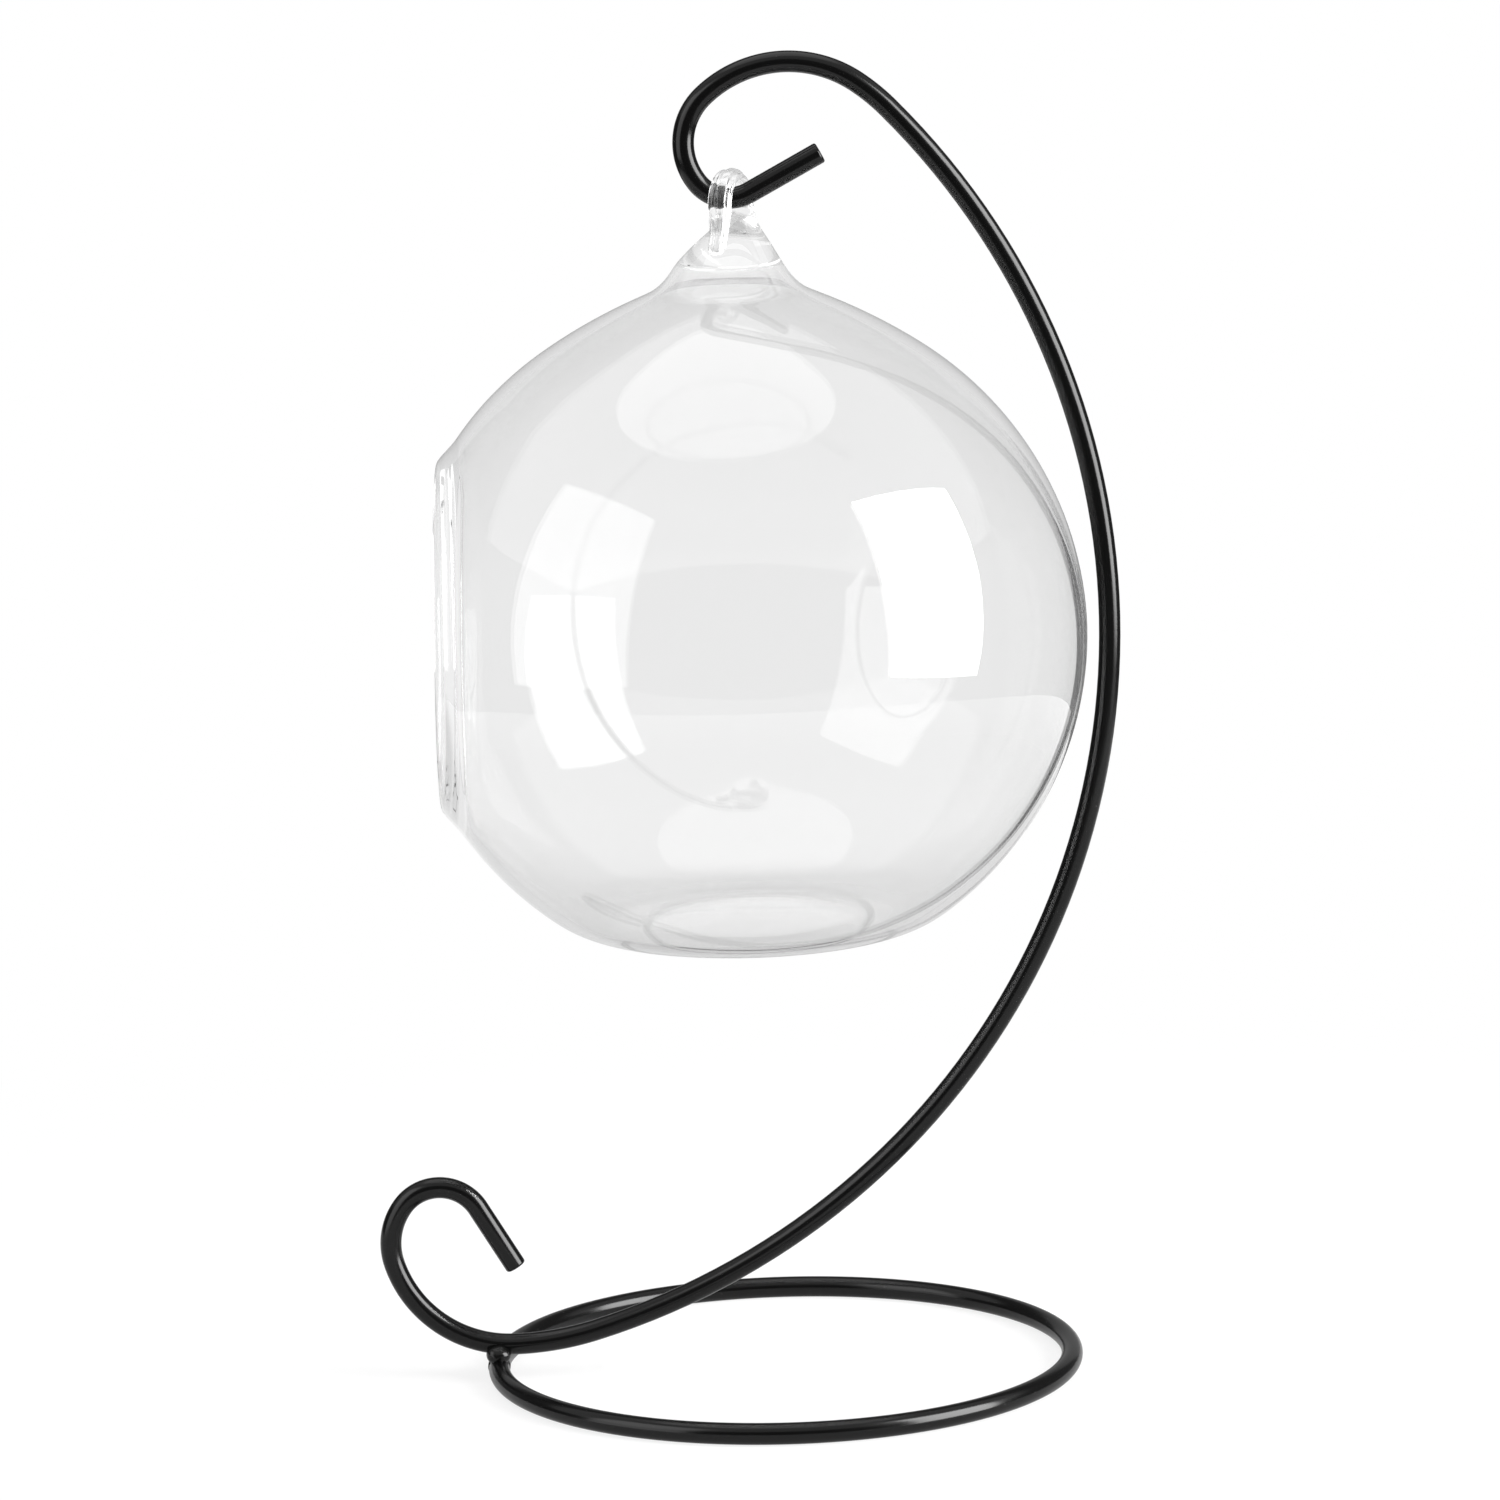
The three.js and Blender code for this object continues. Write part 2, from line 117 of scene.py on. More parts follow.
LOOP_YAW = 22  # degrees: the front strand stands to the left of its root
ROOT_STEPS = [  # from the knob to the rod: share of the rise, and share of the change in section
    (0.3, 0.2),
    (0.65, 0.65),
    (1.0, 1.0),
]
TIP_STEPS = [  # front strand: drop below the eye, step forward, shares of the rod's width and thickness
    (0.0014, 0.0000, 0.94, 1.00),
    (0.0030, 0.0003, 0.84, 1.00),
    (0.0044, 0.0007, 0.76, 1.02),
    (0.0056, 0.0012, 0.74, 1.06),
    (0.0066, 0.0017, 0.76, 1.04),
    (0.0073, 0.0021, 0.68, 0.90),
    (0.0078, 0.0023, 0.46, 0.60),
    (0.0080, 0.0024, 0.20, 0.26),
]
TURN_STEPS = 96  # columns of the turned glass
WINDOW_STEPS = 24  # columns and rows of the turned glass that the mouth takes the place of
WINDOW_HALF_ANGLE = 45  # degrees, from the mouth's axis to the sides of that window
PUNT_ROWS = 8
BASE_ROUNDING_ROWS = 6
BALL_END_ROWS = 3  # of the ball below the window, and above it
DRAWN_ROWS = 5
FLARE_ROWS = 6
KNOB_ROWS = 12
MOUTH_ROWS = 6  # of each wall, from the window to the lip
TOP_LEAN = 0.0012  # the hand-blown ball leans a little to the left above its middle
LEAN_FADE = 6  # the higher it is, the nearer to the loop the lean ends
TOUCHING = 0.0002  # places as near as this count as one

# Surfaces
GLOSS_PATCH_MM = 9  # patches of the coat that are a little duller or brighter
DUST_MM = 0.9  # real dust is finer: it is drawn as coarse as it needs to be to show
WAVE_MM = 34  # slow waves in the blown wall
WAVE_HEIGHT = 0.0005
CAUGHT_AFTER = 2.5  # a ray is let out of the glass when it has been mirrored more often than this
CAUGHT_WHITE = 0.85  # how white the studio is to such a ray

# Studio, where a brightness of 1 is white
FLOOR_RADIUS = 0.47
ROOM_BRIGHTNESS = 0.06  # of the room behind the lamps, which lights the object only a little
ROOM_MIRRORED = 0.05  # share of the white backdrop that reflections of the room have
RIGHT_THROUGH_GLASS = 0.3  # share of the right lamp's brightness on ways that lead through glass

# Photograph's camera
CAMERA_PLACE = Vector((0.0014, -1.2151, 0.3222))
CAMERA_PITCH = 9.844  # degrees below the horizon
CAMERA_ROLL = -1.723
CAMERA_LENS = 169.36  # mm on a 36 mm sensor

neck_rim = GLOBE_RADIUS + NECK_RISE
knob_top = neck_rim + KNOB_HEIGHT
eye_height = knob_top + LOOP_RISE
loop_radius = LOOP_EYE_RADIUS + ROD_HALF_THICKNESS
hanger_turn = Matrix.Rotation(-math.radians(LOOP_YAW), 3, "Z")

hinge = frame["record"]["behaviour"]["joints"][0]["pos_m"]
globe_middle = Vector((hinge[0], 0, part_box("neck_knob")[0].z - neck_rim))


# Helpers for meshes
def finished_piece(name, bm, material, body, nodes):
    """A bmesh as a piece that rides on a body and stands for CAD nodes."""
    for face in bm.faces:
        face.smooth = True
    mesh = bpy.data.meshes.new(name)
    bm.to_mesh(mesh)
    bm.free()
    piece = bpy.data.objects.new(name, mesh)
    bpy.context.scene.collection.objects.link(piece)
    piece.data.materials.append(material)
    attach(piece, body)
    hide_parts(*nodes)
    return piece


def edges_of(geometry):
    return [g for g in geometry if isinstance(g, bmesh.types.BMEdge)]


def grow(bm, loop, place):
    """Extrudes a loop of edges and puts each new point at place(point). Returns the new loop."""
    made = bmesh.ops.extrude_edge_only(bm, edges=loop)["geom"]
    points = {g for g in made if isinstance(g, bmesh.types.BMVert)}
    for point in points:
        point.co = place(point.co.copy())
    return [e for e in edges_of(made) if e.verts[0] in points and e.verts[1] in points]


# Stand
def heading(degrees):
    """Unit vector in the plane of the wire, turned up from +X."""
    return Vector((math.cos(math.radians(degrees)), 0, math.sin(math.radians(degrees))))


def bend_wire(bm, section, start, degrees, bends, tip_length, turn):
    """Carries a section of wire through a row of bends and out along a straight tip, whose edges it returns.
    turn is 1 where the wire bends anticlockwise, seen from the front, and -1 where it bends clockwise."""
    at = start
    for radius, sweep in bends:
        centre = at + radius * heading(degrees + turn * 90)
        spun = bmesh.ops.spin(
            bm,
            geom=section,
            cent=centre,
            axis=(0, -1, 0),
            angle=turn * math.radians(sweep),
            steps=round(sweep / BEND_STEP),
        )
        section = edges_of(spun["geom_last"])
        degrees += turn * sweep
        at = centre - radius * heading(degrees + turn * 90)
    return grow(bm, section, lambda p: p + tip_length * heading(degrees))


def close_end(bm, end, rounding):
    """Closes an open end of wire and rounds its edge."""
    bmesh.ops.edgeloop_fill(bm, edges=end)
    bmesh.ops.bevel(bm, geom=end, offset=rounding, segments=4, profile=0.5, affect="EDGES", material=-1)


def bent_arm(coat):
    """One wire from the curled tip, through the arm's lowest point, to the tip of the hook."""
    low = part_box("arm_wire")[0]
    (scroll_radius, scroll_sweep), (curl_radius, _), _ = SCROLL_BENDS
    scroll_share = math.sin(math.radians(scroll_sweep))
    reach = scroll_radius * scroll_share + curl_radius * (1 - scroll_share)
    foot = Vector((low.x + WIRE_RADIUS + reach, 0, low.z + WIRE_RADIUS))
    bm = bmesh.new()
    across = Matrix.Translation(foot) @ Matrix.Rotation(math.pi / 2, 4, "Y")
    bmesh.ops.create_circle(bm, segments=WIRE_SIDES, radius=WIRE_RADIUS, matrix=across)
    section = list(bm.edges)
    hook_tip = bend_wire(bm, section, foot, 0, ARM_BENDS, HOOK_TIP_LENGTH, 1)
    curl_tip = bend_wire(bm, section, foot, 180, SCROLL_BENDS, CURL_TIP_LENGTH, -1)
    for tip in (hook_tip, curl_tip):
        close_end(bm, tip, CUT_END_ROUNDING)
    bmesh.ops.recalc_face_normals(bm, faces=bm.faces)
    return finished_piece("bent_arm", bm, coat, "stand", ["arm_wire"])


ring_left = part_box("ring_seam_weld")[0].x
ring_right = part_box("base_ring")[1].x
ring_middle = Vector(((ring_left + ring_right) / 2, 0, WIRE_RADIUS))


def ring_section(bm, radius):
    """A section of the base ring's wire, at the ring's left edge."""
    place = ring_middle - Vector((BASE_RING_RADIUS, 0, 0))
    upright = Matrix.Translation(place) @ Matrix.Rotation(math.pi / 2, 4, "X")
    bmesh.ops.create_circle(bm, segments=WIRE_SIDES, radius=radius, matrix=upright)
    return list(bm.edges)


def base_ring(coat):
    bm = bmesh.new()
    section = ring_section(bm, WIRE_RADIUS)
    bmesh.ops.spin(
        bm,
        geom=list(bm.verts) + section,
        cent=ring_middle,
        axis=(0, 0, 1),
        angle=2 * math.pi,
        steps=RING_STEPS,
        use_merge=True,
    )
    bmesh.ops.recalc_face_normals(bm, faces=bm.faces)
    return finished_piece("base_ring_wire", bm, coat, "stand", ["base_ring"])


def ring_seam(weld_coat):
    """The butt weld that closes the ring: a low collar under the arm."""
    bm = bmesh.new()
    section = ring_section(bm, WIRE_RADIUS + SEAM_SWELL)
    bmesh.ops.translate(bm, verts=bm.verts, vec=(0, 0, SEAM_SWELL))
    sweep = SEAM_LENGTH / BASE_RING_RADIUS
    back_turn = Matrix.Rotation(-sweep / 2, 3, "Z")
    bmesh.ops.rotate(bm, verts=bm.verts, cent=ring_middle, matrix=back_turn)
    spun = bmesh.ops.spin(
        bm, geom=section, cent=ring_middle, axis=(0, 0, 1), angle=sweep, steps=SEAM_STEPS
    )
    for end in (section, edges_of(spun["geom_last"])):
        close_end(bm, end, SEAM_ROUNDING)
    bmesh.ops.recalc_face_normals(bm, faces=bm.faces)
    return finished_piece("ring_seam", bm, weld_coat, "stand", ["ring_seam_weld"])


def weld_bead(node, weld_coat):
    """A lumpy bead in the corner between the arm and the ring, in the place of its CAD node."""
    low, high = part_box(node)
    middle = (low + high) / 2
    size = (high - low) / 2
    bm = bmesh.new()
    bmesh.ops.create_icosphere(bm, subdivisions=4, radius=1)
    bmesh.ops.scale(bm, verts=bm.verts, vec=size)
    for point in bm.verts:
        lump = noise.noise(point.co * LUMPS_PER_METRE + middle * BEAD_SHIFT) * BEAD_LUMPS
        point.co += point.co.normalized() * lump
    bmesh.ops.smooth_vert(bm, verts=bm.verts, factor=0.5, use_axis_x=True, use_axis_y=True, use_axis_z=True)
    bmesh.ops.translate(bm, verts=bm.verts, vec=middle)
    return finished_piece(node.replace("weld_bead", "bead"), bm, weld_coat, "stand", [node])


# Glass
def outline_arc(centre, radius, degrees):
    """Points of an outline on an arc, at these angles above the horizontal."""
    x, z = centre
    turns = [math.radians(d) for d in degrees]
    return [Vector((x + radius * math.cos(a), 0, z + radius * math.sin(a))) for a in turns]


def spread(start, end, steps):
    """Evenly spread values, without the first."""
    return [start + (end - start) * (i + 1) / steps for i in range(steps)]


def base_outline(inset):
    """The hollow punt, the ring the vase stands on and the rounding that runs into the ball, from the axis
    outwards, and the angle at which the ball begins. inset is 0 outside and the wall inside."""
    depth = GLOBE_RADIUS - BASE_CUT
    round_height = BASE_ROUNDING - depth
    round_reach = math.sqrt((GLOBE_RADIUS - BASE_ROUNDING) ** 2 - round_height**2)
    punt_radius = round_reach - STANDING_RING_WIDTH
    punt_arc = (punt_radius**2 + PUNT_RISE**2) / (2 * PUNT_RISE)
    punt_edge = math.degrees(math.acos(punt_radius / punt_arc))
    punt_centre = (0, PUNT_RISE - depth - punt_arc + inset)
    punt = outline_arc(punt_centre, punt_arc, [90] + spread(90, punt_edge, PUNT_ROWS))
    punt[0].x = 0
    ball_starts = math.degrees(math.atan2(round_height, round_reach))
    rounding = outline_arc(
        (round_reach, round_height),
        BASE_ROUNDING - inset,
        [-90] + spread(-90, ball_starts, BASE_ROUNDING_ROWS),
    )
    return punt + rounding, ball_starts


def ball_rows(start, end):
    """Angles of the ball's rows. Those beside the mouth are the rows of the window that it is set into."""
    half = WINDOW_HALF_ANGLE
    below = spread(start, -half, BALL_END_ROWS)
    beside = spread(-half, half, WINDOW_STEPS)
    above = spread(half, end, BALL_END_ROWS)
    return below + beside + above


def neck_flare(foot, angle, rim):
    """One face of the neck, from its foot, where the glass is square to an angle, to the rim, smooth at both
    ends."""
    up_ball = Vector((-math.sin(angle), 0, math.cos(angle)))
    lean = math.radians(NECK_SLOPE)
    up_neck = Vector((-math.sin(lean), 0, math.cos(lean)))
    reach = (rim - foot).cross(up_neck).y / up_ball.cross(up_neck).y
    corner = foot + reach * up_ball
    return [foot.lerp(corner, t).lerp(corner.lerp(rim, t), t) for t in spread(0, 1, FLARE_ROWS)]


def knob_radius(share):
    drawn_in = share**KNOB_BULGE + ROOT_SOFTNESS * share**ROOT_CURVE * (1 - share)
    return NECK_RADIUS - (NECK_RADIUS - KNOB_TOP_RADIUS) * drawn_in


def knob_lean(height):
    """How far the knob leans back at this height, on its way to the loop's root."""
    return loop_radius * ((height - neck_rim) / KNOB_HEIGHT) ** KNOB_LEAN_CURVE


def wall_outline(inset, rim):
    """One face of the glass, from the middle of the base to the rim of the neck."""
    base, ball_starts = base_outline(inset)
    draw_starts = 90 - DRAW_ANGLE
    ball = outline_arc((0, 0), GLOBE_RADIUS - inset, ball_rows(ball_starts, draw_starts))
    (draw_centre,) = outline_arc((0, 0), GLOBE_RADIUS - DRAWN_RADIUS, [draw_starts])
    draw_ends = math.acos((NECK_SPREAD - draw_centre.x) / DRAWN_RADIUS)
    drawn = outline_arc(
        (draw_centre.x, draw_centre.z),
        DRAWN_RADIUS - inset,
        spread(draw_starts, math.degrees(draw_ends), DRAWN_ROWS),
    )
    return base + ball + drawn + neck_flare(drawn[-1], draw_ends, rim)


def glass_outlines():
    """The outside of the glass, from the base to the top of the knob, and the inside, from base to plug."""
    knob = [Vector((knob_radius(s), 0, neck_rim + s * KNOB_HEIGHT)) for s in spread(0, 1, KNOB_ROWS)]
    outside = wall_outline(0, Vector((NECK_RADIUS, 0, neck_rim))) + knob
    bore = NECK_RADIUS - NECK_WALL
    top = neck_rim - PLUG_ROUNDING
    plug = [Vector((bore * share, 0, neck_rim - PLUG_ROUNDING / 4)) for share in PLUG_RINGS]
    inside = wall_outline(GLASS_WALL, Vector((bore, 0, top))) + plug
    return outside, inside


def turn_outline(bm, outline):
    """Spins an outline about the upright axis."""
    points = [bm.verts.new(p) for p in outline]
    edges = [bm.edges.new(pair) for pair in zip(points, points[1:])]
    bmesh.ops.spin(
        bm,
        geom=points + edges,
        cent=(0, 0, 0),
        axis=(0, 0, 1),
        angle=2 * math.pi,
        steps=TURN_STEPS,
        use_merge=True,
    )


def cut_mouth(bm):
    """Takes a window out of both walls of the ball, runs each wall on round the mouth and joins the two in a
    lip."""
    lip_ring = MOUTH_RADIUS + LIP_RADIUS
    mid_wall = GLOBE_RADIUS - GLASS_WALL / 2
    lip_angle = math.asin(lip_ring / mid_wall)
    half = math.radians(WINDOW_HALF_ANGLE)

    def in_window(face):
        middle = face.calc_center_median()
        ring = math.hypot(middle.x, middle.y)
        in_walls = middle.length > GLOBE_RADIUS - 2 * GLASS_WALL
        beside = abs(math.atan2(middle.y, -middle.x)) < half
        level = abs(math.atan2(middle.z, ring)) < half
        return in_walls and beside and level

    bmesh.ops.delete(bm, geom=[f for f in bm.faces if in_window(f)], context="FACES")

    def polar(p):
        """Angle from the mouth's axis, and angle round it."""
        return math.atan2(math.hypot(p.y, p.z), -p.x), math.atan2(p.z, p.y)

    def on_ball(radius, angle, way):
        ring = radius * math.sin(angle)
        return Vector((-radius * math.cos(angle), ring * math.cos(way), ring * math.sin(way)))

    def wall_to_lip(radius):
        """Runs one wall of the ball from its window to where the lip begins. Returns its last loop."""

        def on_wall(point):
            return point.co.x < 0 and abs(point.co.length - radius) < TOUCHING

        loop = [e for e in bm.edges if e.is_boundary and all(on_wall(v) for v in e.verts)]
        lip_joins = lip_angle + LIP_GAP / radius
        for left in range(MOUTH_ROWS, 0, -1):

            def nearer(p):
                angle, way = polar(p)
                return on_ball(radius, angle + (lip_joins - angle) / left, way)

            loop = grow(bm, loop, nearer)
        return loop

    def lip_place(turn):
        """A point's place on the round of the lip. turn is 0 outside the ball and 180 inside, in degrees."""
        out = LIP_RADIUS * math.cos(math.radians(turn))
        on = LIP_RADIUS * math.sin(math.radians(turn))

        def place(p):
            way = polar(p)[1]
            outward = on_ball(1, lip_angle, way)
            onward = on_ball(1, lip_angle - math.pi / 2, way)
            return on_ball(mid_wall, lip_angle, way) + out * outward + on * onward

        return place

    tilt = Matrix.Rotation(math.radians(MOUTH_TILT), 3, "Y")
    bmesh.ops.rotate(bm, verts=bm.verts, cent=(0, 0, 0), matrix=tilt.inverted())
    outer = wall_to_lip(GLOBE_RADIUS)
    for turn in LIP_TURNS:
        outer = grow(bm, outer, lip_place(turn))
    inner = wall_to_lip(GLOBE_RADIUS - GLASS_WALL)
    for turn in LIP_TURNS:
        inner = grow(bm, inner, lip_place(180 - turn))
    bmesh.ops.bridge_loops(bm, edges=outer + inner)
    bmesh.ops.rotate(bm, verts=bm.verts, cent=(0, 0, 0), matrix=tilt)


def draw_loop(bm):
    """Draws the loop out of the knob's open top, bends it over and tacks its drop-shaped tip to the knob."""
    sideways = hanger_turn @ Vector((1, 0, 0))
    backwards = hanger_turn @ Vector((0, 1, 0))
    eye = Vector((0, 0, eye_height))
    loop = [e for e in bm.edges if e.is_boundary and all(v.co.z > knob_top - TOUCHING for v in e.verts)]
    root = loop_radius * backwards

    def rod_ring(height, width, thickness, flute_depth):
        """Rings about the root: half width along the hook, half thickness across it, and the depth of the
        flutes as a share of both. The flutes cut inwards and the inside is flattened, so that the loop clears
        the hook."""

        def place(p):
            out = (p - root).xy.normalized().to_3d()
            round_rod = math.atan2(out.dot(backwards), out.dot(sideways))
            flute = 1 + flute_depth * min(math.cos(ROD_FLUTES * round_rod), 0)
            across = out.dot(sideways) * width * flute
            back = out.dot(backwards) * thickness * flute
            if back < 0:
                back *= INSIDE_FLATNESS
            return root + across * sideways + back * backwards + Vector((0, 0, height))

        return place

    for rise, share in ROOT_STEPS:
        width = KNOB_TOP_RADIUS + (ROD_HALF_WIDTH - KNOB_TOP_RADIUS) * share
        thickness = KNOB_TOP_RADIUS + (ROD_HALF_THICKNESS - KNOB_TOP_RADIUS) * share
        loop = grow(bm, loop, rod_ring(knob_top + LOOP_RISE * rise, width, thickness, FLUTE_DEPTH * share))
    spun = bmesh.ops.spin(bm, geom=loop, cent=eye, axis=sideways, angle=math.pi, steps=LOOP_STEPS)
    loop = edges_of(spun["geom_last"])

    front = eye - root
    at, was_wide, was_thick = front, 1, 1
    for drop, forward, wide, thick in TIP_STEPS:
        to = front - Vector((0, 0, drop)) - forward * backwards

        def place(p):
            across = (p - at).dot(sideways) * wide / was_wide
            back = (p - at).dot(backwards) * thick / was_thick
            return to + across * sideways + back * backwards

        loop = grow(bm, loop, place)
        at, was_wide, was_thick = to, wide, thick
    bmesh.ops.edgeloop_fill(bm, edges=loop)


def glass_vase(glass):
    """Globe, knob and loop as the one body of glass that they are fused into."""
    bm = bmesh.new()
    outside, inside = glass_outlines()
    turn_outline(bm, outside)
    for point in bm.verts:
        if point.co.z > neck_rim:
            lean = knob_lean(point.co.z)
            point.co += lean * (hanger_turn @ Vector((0, 1, 0)))
    turn_outline(bm, inside)
    bmesh.ops.remove_doubles(bm, verts=bm.verts, dist=1e-6)
    cut_mouth(bm)
    for point in bm.verts:
        height = max(point.co.z / eye_height, 0)
        point.co.x -= TOP_LEAN * height * (1 - height**LEAN_FADE)
    draw_loop(bm)
    bmesh.ops.recalc_face_normals(bm, faces=bm.faces)
    bmesh.ops.translate(bm, verts=bm.verts, vec=globe_middle)
    nodes = ["glass_globe", "neck_knob", "hanging_loop"]
    vase = finished_piece("glass_vase", bm, glass, "vase", nodes)
    smoothing = vase.modifiers.new("smooth glass", "SUBSURF")
    smoothing.levels = 1
    smoothing.render_levels = 1
    return vase


# Materials
def linear(hex_colour):
    """An sRGB hex colour as the linear RGBA that the shaders take."""
    channels = [int(hex_colour[i : i + 2], 16) / 255 for i in (1, 3, 5)]
    return [c / 12.92 if c <= 0.04045 else ((c + 0.055) / 1.055) ** 2.4 for c in channels] + [1]


def add(tree, kind, inputs, **settings):
    """Adds a node with its settings. An input is a value or the socket that feeds it."""
    node = tree.nodes.new(kind)
    for name, value in settings.items():
        setattr(node, name, value)
    for name, value in inputs.items():
        if isinstance(value, bpy.types.NodeSocket):
            tree.links.new(value, node.inputs[name])
        else:
            node.inputs[name].default_value = value
    return node


def new_material(name):
    material = bpy.data.materials.new(name)
    material.use_nodes = True
    material.node_tree.nodes.clear()
    return material, material.node_tree


def powder_coat(name, colour, peel_mm, peel_height_mm):
    """Black polyester powder, sprayed on the wire and baked: a satin skin with a fine orange peel, which
    breaks the edges of its highlights, and a little dust that sits on it as small grey specks."""
    material, tree = new_material(name)
    place = add(tree, "ShaderNodeTexCoord", {}).outputs["Object"]
    peel = add(tree, "ShaderNodeTexNoise", {"Vector": place, "Scale": 1000 / peel_mm, "Detail": 2.0})
    patches = add(
        tree, "ShaderNodeTexNoise", {"Vector": place, "Scale": 1000 / GLOSS_PATCH_MM, "Detail": 3.0}
    )
    dust = add(tree, "ShaderNodeTexNoise", {"Vector": place, "Scale": 1000 / DUST_MM, "Detail": 1.0})
    specks = add(
        tree,
        "ShaderNodeMapRange",
        {"Value": dust.outputs["Fac"], "From Min": 0.76, "From Max": 0.82, "To Min": 0.0, "To Max": 0.2},
    )
    skin = add(
        tree,
        "ShaderNodeMix",
        {"Factor": specks.outputs["Result"], "A": linear(colour), "B": linear("#5a5a58")},
        data_type="RGBA",
    )
    gloss = add(
        tree,
        "ShaderNodeMapRange",
        {"Value": patches.outputs["Fac"], "From Min": 0.3, "From Max": 0.7, "To Min": 0.16, "To Max": 0.21},
    )
    bump = add(
        tree,
        "ShaderNodeBump",
        {"Height": peel.outputs["Fac"], "Strength": 0.08, "Distance": peel_height_mm / 1000},
    )
    shader = add(
        tree,
        "ShaderNodeBsdfPrincipled",
        {
            "Base Color": skin.outputs["Result"],
            "Roughness": gloss.outputs["Result"],
            "IOR": 1.5,
            "Specular IOR Level": 0.38,
            "Normal": bump.outputs["Normal"],
        },
    )
    add(tree, "ShaderNodeOutputMaterial", {"Surface": shader.outputs["BSDF"]})
    return material


def caught_in_glass(tree):
    """1 for a ray that has been mirrored to and fro inside thick glass. It is let out there, to the white
    studio, because the renderer would soon end it and leave the glass black."""
    path = add(tree, "ShaderNodeLightPath", {})
    caught = add(
        tree,
        "ShaderNodeMath",
        {0: path.outputs["Glossy Depth"], 1: CAUGHT_AFTER},
        operation="GREATER_THAN",
    )
    return caught.outputs["Value"]


def let_past(tree):
    """1 for light that falls through the glass, and for reflections that meet the glass from outside. Both
    pass straight on, because bent ways to the lamps would leave grain in the black coat of the stand."""
    path = add(tree, "ShaderNodeLightPath", {})
    outside = add(
        tree,
        "ShaderNodeMath",
        {0: path.outputs["Transmission Depth"], 1: 0.5},
        operation="LESS_THAN",
    )
    mirrored = add(
        tree,
        "ShaderNodeMath",
        {0: path.outputs["Is Glossy Ray"], 1: outside.outputs["Value"]},
        operation="MULTIPLY",
    )
    past = add(
        tree,
        "ShaderNodeMath",
        {0: path.outputs["Is Shadow Ray"], 1: mirrored.outputs["Value"]},
        operation="MAXIMUM",
    )
    return past.outputs["Value"]


def blown_glass():
    """Clear soda-lime glass, blown by mouth and fire-polished: smooth and bright, with slow waves in the wall
    that bend the edges of its reflections, and a faint grey in the body."""
    material, tree = new_material("clear soda-lime glass, blown and fire-polished")
    place = add(tree, "ShaderNodeTexCoord", {}).outputs["Object"]
    waves = add(tree, "ShaderNodeTexNoise", {"Vector": place, "Scale": 1000 / WAVE_MM, "Detail": 1.0})
    bump = add(
        tree,
        "ShaderNodeBump",
        {"Height": waves.outputs["Fac"], "Strength": 0.25, "Distance": WAVE_HEIGHT},
    )
    glass = add(
        tree,
        "ShaderNodeBsdfPrincipled",
        {
            "Base Color": linear("#f6f6f6"),
            "Roughness": 0.0,
            "IOR": 1.5,
            "Transmission Weight": 1.0,
            "Normal": bump.outputs["Normal"],
        },
    )
    straight = add(
        tree,
        "ShaderNodeMath",
        {0: caught_in_glass(tree), 1: let_past(tree)},
        operation="MAXIMUM",
    )
    way_out = add(tree, "ShaderNodeBsdfTransparent", {"Color": linear("#ffffff")})
    shader = add(
        tree,
        "ShaderNodeMixShader",
        {0: straight.outputs["Value"], 1: glass.outputs["BSDF"], 2: way_out.outputs["BSDF"]},
    )
    add(tree, "ShaderNodeOutputMaterial", {"Surface": shader.outputs["Shader"]})
    return material


# Studio
def white_for_sight(tree, glossy_share):
    """How much a ray sees of the studio's white: all of it straight on or through glass, a share in
    reflections, and most of it when it was caught in the glass."""
    path = add(tree, "ShaderNodeLightPath", {})
    straight = add(
        tree,
        "ShaderNodeMath",
        {0: path.outputs["Is Camera Ray"], 1: path.outputs["Is Transmission Ray"]},
        operation="MAXIMUM",
    )
    mirrored = add(
        tree,
        "ShaderNodeMath",
        {0: path.outputs["Is Glossy Ray"], 1: glossy_share},
        operation="MULTIPLY",
    )
    seen = add(
        tree,
        "ShaderNodeMath",
        {0: straight.outputs["Value"], 1: mirrored.outputs["Value"]},
        operation="MAXIMUM",
    )
    caught = add(
        tree,
        "ShaderNodeMath",
        {0: caught_in_glass(tree), 1: CAUGHT_WHITE},
        operation="MULTIPLY",
    )
    let_out = add(
        tree,
        "ShaderNodeMath",
        {0: seen.outputs["Value"], 1: caught.outputs["Value"]},
        operation="MAXIMUM",
    )
    return let_out.outputs["Value"]


